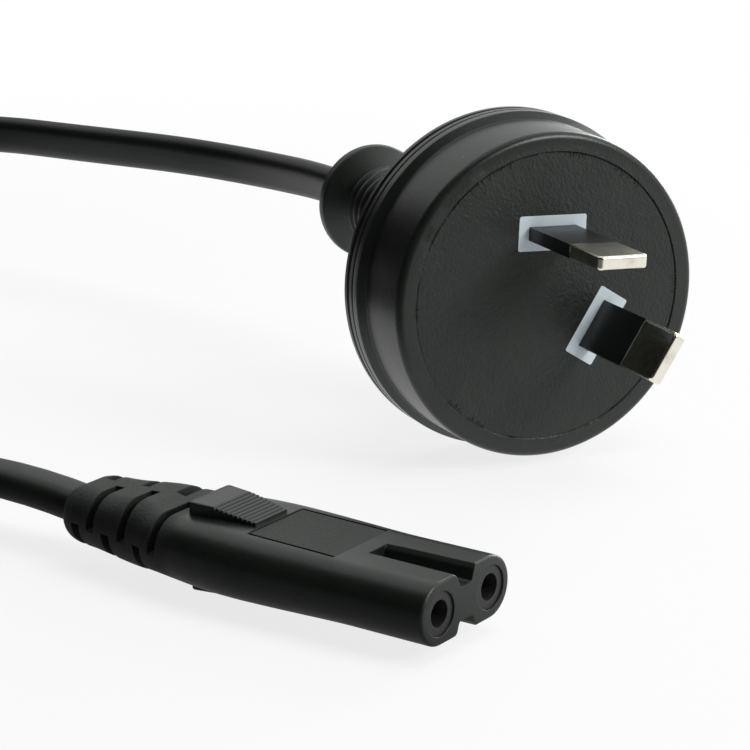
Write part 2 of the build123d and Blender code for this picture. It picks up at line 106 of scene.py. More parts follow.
connector_spin = math.radians(CONNECTOR_SPIN)
grip_drop = GRIP_HEIGHT * math.cos(connector_spin) + GRIP_HALF * math.sin(connector_spin)
plug_height = height_on_table(RIM_R, RIM_FRONT, PLUG_PITCH)
connector_height = height_on_table(grip_drop, GRIP_BACK, CONNECTOR_PITCH)
plug_place = mating_frame(PLUG_AT, plug_height, PLUG_HEADING, PLUG_PITCH, PLUG_SPIN)
connector_place = mating_frame(
    CONNECTOR_AT, connector_height, CONNECTOR_HEADING, CONNECTOR_PITCH, CONNECTOR_SPIN
)
neck_shift = plug_place.to_3x3().inverted() @ UP * (NECK_LIFT * MM)


# Node helpers
def add(tree, kind, settings=None, **inputs):
    """New node in a tree. An input is a value or another node's output; _0 is the first input."""
    made = tree.nodes.new(kind)
    for name, value in (settings or {}).items():
        setattr(made, name, value)
    for name, value in inputs.items():
        socket = made.inputs[int(name[1:])] if name[0] == "_" else made.inputs[name.replace("_", " ")]
        if isinstance(value, bpy.types.NodeSocket):
            tree.links.new(value, socket)
        else:
            socket.default_value = value
    return made


def maths(tree, operation, first, second=0.0, third=0.0):
    """Output of one arithmetic node."""
    return add(tree, "ShaderNodeMath", {"operation": operation}, _0=first, _1=second, _2=third).outputs[0]


def vector_value(tree, operation, first, second=(0, 0, 0)):
    """Number that a vector node gives: a length or a dot product."""
    made = add(tree, "ShaderNodeVectorMath", {"operation": operation}, _0=first, _1=second)
    return made.outputs["Value"]


def chance(tree, low, high, seed):
    """Random number for each point, between low and high."""
    made = add(tree, "FunctionNodeRandomValue", {"data_type": "FLOAT"}, _2=low, _3=high, _8=seed)
    return made.outputs[1]


def steps_between(tree, value, low, high):
    """Smooth rise from 0 to 1 as a value goes from low to high."""
    rise = add(tree, "ShaderNodeMapRange", {"interpolation_type": "SMOOTHSTEP"}, Value=value)
    rise.inputs["From Min"].default_value = low
    rise.inputs["From Max"].default_value = high
    return rise.outputs["Result"]


def ramp(tree, share, low, high):
    """Straight line from low to high as a share goes from 0 to 1."""
    return maths(tree, "MULTIPLY_ADD", share, high - low, low)


# Camera
CAMERA_AT, CAMERA_TILT = (-2.64, -296.53, 88.82), 14.229
CAMERA_LENS, CAMERA_SENSOR = 124.8, 36


def set_camera():
    """Camera at the photograph's viewing angle: a long lens, low, looking along +Y."""
    lens = bpy.data.cameras.new("photo_camera")
    lens.sensor_fit = "HORIZONTAL"
    lens.sensor_width = CAMERA_SENSOR
    lens.lens = CAMERA_LENS
    lens.clip_start = 0.01
    camera = bpy.data.objects.new("photo_camera", lens)
    camera.location = Vector(CAMERA_AT) * MM
    camera.rotation_euler = (math.radians(90 - CAMERA_TILT), 0, 0)
    bpy.context.scene.collection.objects.link(camera)
    bpy.context.scene.camera = camera
    bpy.context.scene.view_settings.view_transform = "Standard"


# Studio, in metres and watts
WHITE = (1, 1, 1, 1)
WORLD_LIGHT = 0.35
TABLE_HALF, TABLE_DROP, TABLE_COLOUR = 4.0, 0.2 * MM, (0.9, 0.9, 0.9, 1)
SHADOW_NEAR, SHADOW_FAR, SHADOW_SHARE = 0.12, 0.4, 0.2
BRIGHT_SIDE, BRIGHT_FROM, BRIGHT_TO, DIM_LIGHT = (0.6, 0.8, 0), -0.06, 0.0, 0.15
CURTAIN_R, CURTAIN_LOW, CURTAIN_HIGH, CURTAIN_FOLDS = 0.8, 0.3, 2.5, 48
CURTAIN_FROM, CURTAIN_TO = 100.0, 338.0
CURTAIN_RISE_FROM, CURTAIN_RISE_TO = 140.0, 200.0
CURTAIN_COLOUR = (0.01, 0.01, 0.01, 1)
LAMPS_AIM = (0, 0.02, 0.02)

# Soft square lamps: name, place, side, power, and whether the lamp shows in reflections
LAMPS = (
    ("soft_box_back", (0.43, 0.72, 0.28), 0.45, 5.0, True),
    ("soft_box_above", (0.2, 0.0, 0.75), 0.5, 2.0, False),
    ("soft_box_right", (0.6, -0.35, 0.45), 0.35, 4.0, True),
)


def set_world():
    """White surroundings: plain white where they are seen or mirrored, and a softer light elsewhere."""
    world = bpy.data.worlds.new("studio")
    bpy.context.scene.world = world
    world.use_nodes = True
    tree = world.node_tree
    tree.nodes.clear()
    rays = add(tree, "ShaderNodeLightPath").outputs
    seen = maths(tree, "MAXIMUM", rays["Is Camera Ray"], rays["Is Glossy Ray"])
    seen = maths(tree, "MAXIMUM", seen, rays["Is Transmission Ray"])
    lit = add(tree, "ShaderNodeBackground", Color=WHITE, Strength=WORLD_LIGHT)
    shown = add(tree, "ShaderNodeBackground", Color=WHITE, Strength=1.0)
    mix = add(tree, "ShaderNodeMixShader", _0=seen, _1=lit.outputs[0], _2=shown.outputs[0])
    add(tree, "ShaderNodeOutputWorld", Surface=mix.outputs[0])


def table_paint():
    """Pale paint: a faint shadow near the lead, white further out, and dim in mirrors at the front left."""
    paint = bpy.data.materials.new("table_white")
    paint.use_nodes = True
    tree = paint.node_tree
    tree.nodes.clear()
    spot = add(tree, "ShaderNodeTexCoord").outputs["Object"]
    far = steps_between(tree, vector_value(tree, "LENGTH", spot), SHADOW_NEAR, SHADOW_FAR)
    side = vector_value(tree, "DOT_PRODUCT", spot, BRIGHT_SIDE)
    bright = steps_between(tree, side, BRIGHT_FROM, BRIGHT_TO)
    rays = add(tree, "ShaderNodeLightPath").outputs
    straight = maths(tree, "MULTIPLY", rays["Is Camera Ray"], ramp(tree, far, 1 - SHADOW_SHARE, 1.0))
    mirrored = maths(tree, "MAXIMUM", rays["Is Glossy Ray"], rays["Is Transmission Ray"])
    strength = maths(tree, "MAXIMUM", rays["Is Camera Ray"], ramp(tree, bright, DIM_LIGHT, 1.0))
    sheet = add(tree, "ShaderNodeBsdfDiffuse", Color=TABLE_COLOUR)
    glow = add(tree, "ShaderNodeEmission", Color=WHITE, Strength=strength)
    share = maths(tree, "MAXIMUM", straight, mirrored)
    mix = add(tree, "ShaderNodeMixShader", _0=share, _1=sheet.outputs[0], _2=glow.outputs[0])
    add(tree, "ShaderNodeOutputMaterial", Surface=mix.outputs[0])
    return paint


def add_table():
    """Wide pale table just under the lead."""
    sheet = bpy.data.meshes.new("table")
    corners = ((-1, -1), (1, -1), (1, 1), (-1, 1))
    sheet.from_pydata([(x * TABLE_HALF, y * TABLE_HALF, 0) for x, y in corners], [], [(0, 1, 2, 3)])
    sheet.materials.append(table_paint())
    floor = bpy.data.objects.new("table", sheet)
    floor.location.z = -TABLE_DROP
    bpy.context.scene.collection.objects.link(floor)


def add_curtain():
    """Dark curtain for the reflections, hidden from the camera: low at the back left, high in front."""
    dark = bpy.data.materials.new("curtain_black")
    dark.use_nodes = True
    cloth = dark.node_tree.nodes["Principled BSDF"]
    cloth.inputs["Base Color"].default_value = CURTAIN_COLOUR
    cloth.inputs["Roughness"].default_value = 1.0
    points = []
    for fold in range(CURTAIN_FOLDS + 1):
        turn = CURTAIN_FROM + (CURTAIN_TO - CURTAIN_FROM) * fold / CURTAIN_FOLDS
        x, y = CURTAIN_R * math.cos(math.radians(turn)), CURTAIN_R * math.sin(math.radians(turn))
        rise = (turn - CURTAIN_RISE_FROM) / (CURTAIN_RISE_TO - CURTAIN_RISE_FROM)
        top = CURTAIN_LOW + (CURTAIN_HIGH - CURTAIN_LOW) * min(max(rise, 0.0), 1.0)
        points += [(x, y, 0.0), (x, y, top)]
    drape = bpy.data.meshes.new("curtain")
    drape.from_pydata(points, [], [(2 * i, 2 * i + 2, 2 * i + 3, 2 * i + 1) for i in range(CURTAIN_FOLDS)])
    drape.materials.append(dark)
    curtain = bpy.data.objects.new("curtain", drape)
    curtain.visible_camera = False
    curtain.visible_shadow = False
    bpy.context.scene.collection.objects.link(curtain)


def add_lamps():
    """Large soft lamps turned towards the lead."""
    for name, at, side, power, mirrored in LAMPS:
        lamp = bpy.data.lights.new(name, "AREA")
        lamp.shape = "SQUARE"
        lamp.size = side
        lamp.energy = power
        holder = bpy.data.objects.new(name, lamp)
        holder.location = at
        holder.rotation_euler = (Vector(LAMPS_AIM) - Vector(at)).to_track_quat("-Z", "Y").to_euler()
        holder.visible_glossy = mirrored
        bpy.context.scene.collection.objects.link(holder)


# Finish helpers
def new_finish(name, gloss=WHITE, specular=0.5):
    """Empty material with a shader, the tint and level of its gloss, and its output."""
    material = bpy.data.materials.new(name)
    material.use_nodes = True
    tree = material.node_tree
    tree.nodes.clear()
    shader = add(tree, "ShaderNodeBsdfPrincipled", Specular_Tint=gloss, Specular_IOR_Level=specular)
    add(tree, "ShaderNodeOutputMaterial", Surface=shader.outputs[0])
    return material, tree, shader


def own_place(tree, place):
    """Coordinates in the frame of one end of the lead, in metres."""
    spot = add(tree, "ShaderNodeTexCoord").outputs["Object"]
    turned = add(tree, "ShaderNodeMapping", {"vector_type": "TEXTURE"}, Vector=spot)
    turned.inputs["Location"].default_value = place.translation
    turned.inputs["Rotation"].default_value = place.to_euler()
    return turned.outputs[0]


def stretched(tree, spot, scale):
    """Coordinates scaled along their axes, which draws a pattern out or squeezes it."""
    return add(tree, "ShaderNodeMapping", Vector=spot, Scale=scale).outputs[0]


def noise(tree, spot, size, detail=3.0, rough=0.5):
    """Noise whose lumps are about one size across, in millimetres."""
    made = add(tree, "ShaderNodeTexNoise", Vector=spot, Scale=1 / (size * MM), Detail=detail, Roughness=rough)
    return made.outputs["Fac"]


def blend(tree, share, first, second):
    """Mix of two numbers."""
    return add(tree, "ShaderNodeMix", {"data_type": "FLOAT"}, _0=share, _2=first, _3=second).outputs[0]


def blend_colour(tree, share, first, second):
    """Mix of two colours, or of a colour and another node's output."""
    return add(tree, "ShaderNodeMix", {"data_type": "RGBA"}, _0=share, _6=first, _7=second).outputs[2]


def clouded(tree, spot, size, dark, light):
    """Colour that drifts between two shades in soft clouds."""
    return blend_colour(tree, steps_between(tree, noise(tree, spot, size), 0.3, 0.7), dark, light)


def dusted(tree, spot, spacing, size, share, base):
    """Colour under sparse specks of dust, each of which hides a share of it."""
    cells = add(tree, "ShaderNodeTexVoronoi", Vector=spot, Scale=1 / (spacing * MM))
    draw = add(tree, "ShaderNodeSeparateColor", Color=cells.outputs["Color"]).outputs[0]
    near = maths(tree, "LESS_THAN", cells.outputs["Distance"], size / spacing)
    speck = maths(tree, "MULTIPLY", near, maths(tree, "GREATER_THAN", draw, 0.8))
    return blend_colour(tree, maths(tree, "MULTIPLY", speck, share), base, DUSTY)


def dress(tree, shader, colour, roughness, height, strength, depth, edge_r=0.0, samples=4):
    """Colour, roughness and bump of a shader, with its edges rounded to a radius where one is given."""
    tree.links.new(colour, shader.inputs["Base Color"])
    tree.links.new(roughness, shader.inputs["Roughness"])
    bump = add(tree, "ShaderNodeBump", Strength=strength, Distance=depth * MM, Height=height)
    if edge_r:
        soft = add(tree, "ShaderNodeBevel", {"samples": samples}, Radius=edge_r * MM)
        tree.links.new(soft.outputs[0], bump.inputs["Normal"])
    tree.links.new(bump.outputs[0], shader.inputs["Normal"])


# Finishes
# The green tint of the PVC's gloss is painted light: it gives the reflections the green cast of the light,
# which the white lamps and surroundings lack.
PVC_GLOSS_PAINTED_GREEN_LIGHT = (0.92, 1.0, 0.94, 1)
PVC_DARK, PVC_LIGHT = (0.007, 0.0086, 0.0073, 1), (0.010, 0.012, 0.0103, 1)
PLUG_DARK, PLUG_LIGHT = (0.0075, 0.0092, 0.0078, 1), (0.0105, 0.0126, 0.0108, 1)
WEAVE_DARK, WEAVE_LIGHT = (0.012, 0.012, 0.013, 1), (0.03, 0.03, 0.032, 1)
SCUFFED = (0.032, 0.034, 0.031, 1)
DUSTY = (0.22, 0.23, 0.22, 1)

# Where the plug's and the connector's finishes change
GRAIN_OUTER_R, GRAIN_INNER_R = FACE_R - 1.0, FACE_R - 2.6
GRAIN_BACK, GRAIN_FRONT = 0.5, 0.2
DULL_NECK_FROM, DULL_NECK_TO = 28, 31
SCUFF_FRONT, SCUFF_FRONT_HALF = RIM_FRONT + 0.2, 0.35
SCUFF_BACK, SCUFF_BACK_HALF = RIM_BACK - 0.2, 0.4
DULL_BOOT_FROM, DULL_BOOT_TO = BOOT_FRONT - 1.5, BOOT_FRONT + 0.5


def plug_pvc():
    """Black moulded PVC: matt grained face, satin wall, rubbed rim edges, duller neck."""
    material, tree, shader = new_finish("plug_black_pvc", PVC_GLOSS_PAINTED_GREEN_LIGHT)
    spot = own_place(tree, plug_place)
    part = add(tree, "ShaderNodeSeparateXYZ", Vector=spot).outputs
    flat = add(tree, "ShaderNodeCombineXYZ", X=part["X"], Y=part["Y"])
    radius = vector_value(tree, "LENGTH", flat.outputs[0])
    behind = maths(tree, "MULTIPLY", part["Z"], -1.0)
    on_face = steps_between(tree, behind, GRAIN_BACK * MM, GRAIN_FRONT * MM)
    inside = steps_between(tree, radius, GRAIN_OUTER_R * MM, GRAIN_INNER_R * MM)
    grained = maths(tree, "MULTIPLY", on_face, inside)
    on_neck = steps_between(tree, behind, DULL_NECK_FROM * MM, DULL_NECK_TO * MM)

    fine = noise(tree, spot, 0.42, 2.0)
    coarse = noise(tree, spot, 1.5, 2.0)
    rubbed = noise(tree, stretched(tree, spot, (1.0, 1.0, 14.0)), 5.0, 5.0, 0.65)

    at_front = maths(tree, "COMPARE", behind, SCUFF_FRONT * MM, SCUFF_FRONT_HALF * MM)
    at_back = maths(tree, "COMPARE", behind, SCUFF_BACK * MM, SCUFF_BACK_HALF * MM)
    at_edge = maths(tree, "MAXIMUM", at_front, at_back)
    scuffed = maths(tree, "MULTIPLY", at_edge, steps_between(tree, rubbed, 0.45, 0.7))
    colour = clouded(tree, spot, 6.0, PLUG_DARK, PLUG_LIGHT)
    colour = blend_colour(tree, maths(tree, "MULTIPLY", scuffed, 0.6), colour, SCUFFED)
    colour = dusted(tree, spot, 5.0, 0.13, 0.8, colour)

    satin, matt = ramp(tree, rubbed, 0.3, 0.38), ramp(tree, fine, 0.43, 0.57)
    rough = blend(tree, grained, satin, matt)
    rough = maths(tree, "ADD", rough, maths(tree, "MULTIPLY", on_neck, 0.12))
    hills = maths(tree, "ADD", fine, maths(tree, "MULTIPLY", coarse, 0.8))
    height = maths(tree, "MULTIPLY", hills, ramp(tree, grained, 0.15, 1.0))
    dress(tree, shader, colour, rough, height, strength=0.8, depth=0.14)
    return material


def connector_pvc():
    """Black moulded PVC: satin body, matt panel and bend relief."""
    material, tree, shader = new_finish("connector_black_pvc", PVC_GLOSS_PAINTED_GREEN_LIGHT)
    spot = own_place(tree, connector_place)
    part = add(tree, "ShaderNodeSeparateXYZ", Vector=spot).outputs
    behind = maths(tree, "MULTIPLY", part["Z"], -1.0)
    across = maths(tree, "ABSOLUTE", part["X"])
    on_boot = steps_between(tree, behind, DULL_BOOT_FROM * MM, DULL_BOOT_TO * MM)
    panel_middle, panel_reach = (PANEL_FRONT + PANEL_BACK) / 2, (PANEL_BACK - PANEL_FRONT) / 2
    panel = maths(tree, "COMPARE", behind, panel_middle * MM, panel_reach * MM)
    panel = maths(tree, "MULTIPLY", panel, maths(tree, "LESS_THAN", across, PANEL_HALF * MM))
    panel = maths(tree, "MULTIPLY", panel, maths(tree, "GREATER_THAN", part["Y"], PANEL_LOW * MM))
    matt_share = maths(tree, "MAXIMUM", on_boot, panel)

    fine = noise(tree, spot, 0.35, 3.0, 0.6)
    streaks = noise(tree, stretched(tree, spot, (1.0, 1.0, 0.12)), 0.8, 4.0, 0.6)
    colour = dusted(tree, spot, 4.0, 0.1, 0.7, clouded(tree, spot, 5.0, PVC_DARK, PVC_LIGHT))
    rough = blend(tree, matt_share, ramp(tree, streaks, 0.3, 0.44), ramp(tree, fine, 0.5, 0.66))
    height = maths(tree, "MULTIPLY", fine, ramp(tree, matt_share, 0.15, 1.0))
    dress(tree, shader, colour, rough, height, strength=0.7, depth=0.08, edge_r=0.2)
    return material


def cord_pvc():
    """Black cord sheath: drawn lines along its length and a soft sheen."""
    material, tree, shader = new_finish("cord_black_pvc", PVC_GLOSS_PAINTED_GREEN_LIGHT, specular=0.3)
    along = add(tree, "ShaderNodeUVMap", {"uv_map": "along"}).outputs[0]
    drawn = stretched(tree, along, (900, 12, 1))
    lines = add(tree, "ShaderNodeTexNoise", Vector=drawn, Scale=1.0, Detail=4.0).outputs["Fac"]
    spot = add(tree, "ShaderNodeTexCoord").outputs["Object"]
    fine = noise(tree, spot, 0.4)
    colour = dusted(tree, spot, 6.0, 0.12, 0.6, clouded(tree, spot, 9.0, PVC_DARK, PVC_LIGHT))
    height = maths(tree, "ADD", lines, maths(tree, "MULTIPLY", fine, 0.5))
    dress(tree, shader, colour, ramp(tree, lines, 0.34, 0.54), height, strength=0.35, depth=0.06)
    return material


def plastic(name, dark, light, roughness, grain_size, grain):
    """Plain moulded plastic: slight clouding, fine grain and softened edges."""
    material, tree, shader = new_finish(name)
    spot = add(tree, "ShaderNodeTexCoord").outputs["Object"]
    fine = noise(tree, spot, grain_size, 3.0, 0.6)
    colour = clouded(tree, spot, 3.0, dark + (1,), light + (1,))
    rough = ramp(tree, fine, roughness - 0.06, roughness + 0.06)
    dress(tree, shader, colour, rough, fine, strength=grain, depth=0.04, edge_r=0.12)
    return material


def plated_metal(name, place, bright, worn, roughness):
    """Rolled and plated metal: fine lines along the blade, dull patches, rounded edges."""
    material, tree, shader = new_finish(name)
    shader.inputs["Metallic"].default_value = 1.0
    spot = own_place(tree, place)
    lines = noise(tree, stretched(tree, spot, (1.0, 1.0, 0.06)), 0.4, 2.0)
    patches = noise(tree, spot, 2.2, 2.0)
    colour = blend_colour(tree, steps_between(tree, patches, 0.45, 0.75), bright + (1,), worn + (1,))
    uneven = maths(tree, "ADD", lines, patches)
    rough = ramp(tree, uneven, roughness - 0.06, roughness)
    dress(tree, shader, colour, rough, lines, strength=0.12, depth=0.015, edge_r=0.28, samples=6)
    return material


def woven_strap():
    """Black hook-and-loop strap: woven ribs across it and a little fuzz."""
    material, tree, shader = new_finish("tie_black_weave")
    shader.inputs["Sheen Weight"].default_value = 0.25
    shader.inputs["Sheen Roughness"].default_value = 0.5
    spot = add(tree, "ShaderNodeTexCoord").outputs["Object"]
    along = add(tree, "ShaderNodeUVMap", {"uv_map": "along"}).outputs[0]
    wave = add(tree, "ShaderNodeTexWave", {"bands_direction": "Y"}, Vector=along, Scale=400.0, Distortion=1.5)
    ribs = wave.outputs["Fac"]
    fuzz = noise(tree, spot, 0.5, 4.0, 0.7)
    colour = blend_colour(tree, ribs, WEAVE_DARK, WEAVE_LIGHT)
    height = maths(tree, "ADD", ribs, fuzz)
    dress(tree, shader, colour, ramp(tree, fuzz, 0.8, 0.95), height, strength=0.6, depth=0.15)
    return material


# Shared mesh work
MERGE_BELOW = 0.0005


def add_piece(name, mesh, material, slot, *stands_for):
    """Object for a finished mesh, riding on the one body of the lead."""
    mesh.name = name
    if material.name not in mesh.materials:
        mesh.materials.clear()
        mesh.materials.append(material)
    piece = bpy.data.objects.new(name, mesh)
    bpy.context.scene.collection.objects.link(piece)
    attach(piece, "root")
    if stands_for:
        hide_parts(*stands_for)
    return piece


def tidy(mesh, smooth_below=32):
    """Merge doubles, turn every face outwards and smooth all but the sharp edges."""
    work = bmesh.new()
    work.from_mesh(mesh)
    bmesh.ops.remove_doubles(work, verts=work.verts, dist=MERGE_BELOW * MM)
    bmesh.ops.recalc_face_normals(work, faces=work.faces)
    work.to_mesh(mesh)
    work.free()
    mesh.shade_smooth()
    mesh.set_sharp_from_angle(angle=math.radians(smooth_below))


def new_tree(name, *inputs):
    """Geometry tree with named inputs and one geometry output."""
    tree = bpy.data.node_groups.new(name, "GeometryNodeTree")
    tree.interface.new_socket("Geometry", in_out="OUTPUT", socket_type="NodeSocketGeometry")
    tree.interface.new_socket("Geometry", in_out="INPUT", socket_type="NodeSocketGeometry")
    for label, kind in inputs:
        tree.interface.new_socket(label, in_out="INPUT", socket_type="NodeSocket" + kind)
    return tree, tree.nodes.new("NodeGroupInput").outputs


def close_tree(tree, geometry, material):
    """Last nodes of every tree: real geometry with its material."""
    real = add(tree, "GeometryNodeRealizeInstances", Geometry=geometry)
    dressed = add(tree, "GeometryNodeSetMaterial", Geometry=real.outputs[0], Material=material)
    out = tree.nodes.new("NodeGroupOutput")
    tree.links.new(dressed.outputs[0], out.inputs[0])


def plain_mesh(holder):
    """Finished mesh of an object that is only there to make it, and is then removed."""
    bpy.context.scene.collection.objects.link(holder)
    bpy.context.view_layer.update()
    made = bpy.data.meshes.new_from_object(holder.evaluated_get(bpy.context.evaluated_depsgraph_get()))
    bpy.data.objects.remove(holder)
    return made


def grow(name, start, tree, values):
    """Plain mesh that a tree makes from a start mesh."""
    holder = bpy.data.objects.new(name, start)
    modifier = holder.modifiers.new(name, "NODES")
    modifier.node_group = tree
    for item in tree.interface.items_tree:
        if item.in_out == "INPUT" and item.name in values:
            modifier[item.identifier] = values[item.name]
    return plain_mesh(holder)


def sweep_mesh(name, rings, run, girth):
    """Closed tube through rings of points, with a map of its girth and its run named along."""
    work = bmesh.new()
    layer = work.loops.layers.uv.new("along")
    rows = [[work.verts.new(point) for point in ring] for ring in rings]
    sides = len(rows[0])
    for i in range(1, len(rows)):
        for k in range(sides):
            after = (k + 1) % sides
            face = work.faces.new((rows[i - 1][k], rows[i - 1][after], rows[i][after], rows[i][k]))
            corners = ((k, i - 1), (k + 1, i - 1), (k + 1, i), (k, i))
            for loop, (u, v) in zip(face.loops, corners):
                loop[layer].uv = (u / sides * girth * MM, run[v])
    work.faces.new(rows[0])
    work.faces.new(rows[-1])
    bmesh.ops.recalc_face_normals(work, faces=work.faces)
    mesh = bpy.data.meshes.new(name)
    work.to_mesh(mesh)
    work.free()
    return mesh


def eased(share):
    """Smooth step of a share, held between 0 and 1."""
    share = min(max(share, 0), 1)
    return share * share * (3 - 2 * share)


# Plug body
def rounded(corners, steps=5):
    """Outline through corners given as (radius, height, rounding)."""
    outline = []
    for i, (r, z, rounding) in enumerate(corners):
        at = Vector((r, z))
        if rounding == 0:
            outline.append(at)
            continue
        before = (Vector(corners[i - 1][:2]) - at).normalized()
        after = (Vector(corners[i + 1][:2]) - at).normalized()
        half = before.angle(after) / 2
        middle = at + (before + after).normalized() * (rounding / math.sin(half))
        first = at + before * (rounding / math.tan(half)) - middle
        sweep = first.angle_signed(at + after * (rounding / math.tan(half)) - middle)
        for step in range(steps + 1):
            turn = -sweep * step / steps
            outline.append(middle + Matrix.Rotation(turn, 2) @ first)
    return outline


def curve_between(start, start_way, end, end_way, steps):
    """Points of a smooth curve that leaves and arrives in the given directions, ends left out."""
    a, b = Vector(start), Vector(end)
    span = (b - a).length
    u, v = Vector(start_way).normalized() * span, Vector(end_way).normalized() * span
    points = []
    for step in range(1, steps):
        t = step / steps
        ends = a * (2 * t**3 - 3 * t**2 + 1) + b * (3 * t**2 - 2 * t**3)
        points.append(ends + u * (t**3 - 2 * t**2 + t) + v * (t**3 - t**2))
    return points


def plug_outline():
    """Turned outline of the plug from the middle of its face to the middle of its end flange."""
    corners = [(0, 0, 0), (SEAM_R - SEAM_WIDTH, 0, 0), (SEAM_R - SEAM_WIDTH / 2, 0, 0)]
    corners += [(SEAM_R, -SEAM_DEPTH, 0), (SEAM_R + SEAM_WIDTH / 2, 0, 0), (FACE_R, 0, FACE_EDGE_R)]
    corners += [(WALL_R, -WALL_END, WALL_ROOT_R), (RIM_R, -RIM_FRONT, RIM_FRONT_EDGE_R)]
    for at, width, depth in RIM_GROOVES:
        corners += [(RIM_R, -at + width / 2, GROOVE_EDGE_R), (RIM_R - depth, -at, GROOVE_ROOT_R)]
        corners += [(RIM_R, -at - width / 2, GROOVE_EDGE_R)]
    inward, back = RIM_TURN
    corners += [(RIM_R, -RIM_BACK, RIM_BACK_EDGE_R), (RIM_R - inward, -RIM_BACK - back, 0)]
    outline = rounded(corners)
    middle, way = (DOME_R, -DOME_AT), (NECK_R - RIM_R, RIM_BACK - NECK_START)
    outline += curve_between(outline[-1], (-inward, -back), middle, way, DOME_STEPS)
    outline += [Vector(middle)]
    outline += curve_between(middle, way, (NECK_R, -NECK_START), NECK_WAY, DOME_STEPS)
    slope = (RIB_PITCH - RIB_CREST - RIB_ROOT) / 2
    corners = [(NECK_R, -NECK_START, 0)]
    for rib in range(int((FLANGE_ROOT - NECK_START) / RIB_PITCH)):
        top = NECK_START + RIB_ROOT / 2 + rib * RIB_PITCH
        corners += [(NECK_R, -top, RIB_ROOT_EDGE_R), (RIB_R, -top - slope, RIB_CREST_EDGE_R)]
        corners += [(RIB_R, -top - slope - RIB_CREST, RIB_CREST_EDGE_R)]
        corners += [(NECK_R, -top - 2 * slope - RIB_CREST, RIB_ROOT_EDGE_R)]
    corners += [(NECK_R, -FLANGE_ROOT, FLANGE_ROOT_R), (FLANGE_R, -FLANGE_FRONT, FLANGE_FRONT_EDGE_R)]
    corners += [(FLANGE_R, -FLANGE_BACK, FLANGE_BACK_EDGE_R), (0, -FLANGE_BACK, 0)]
    return outline + rounded(corners, 4)


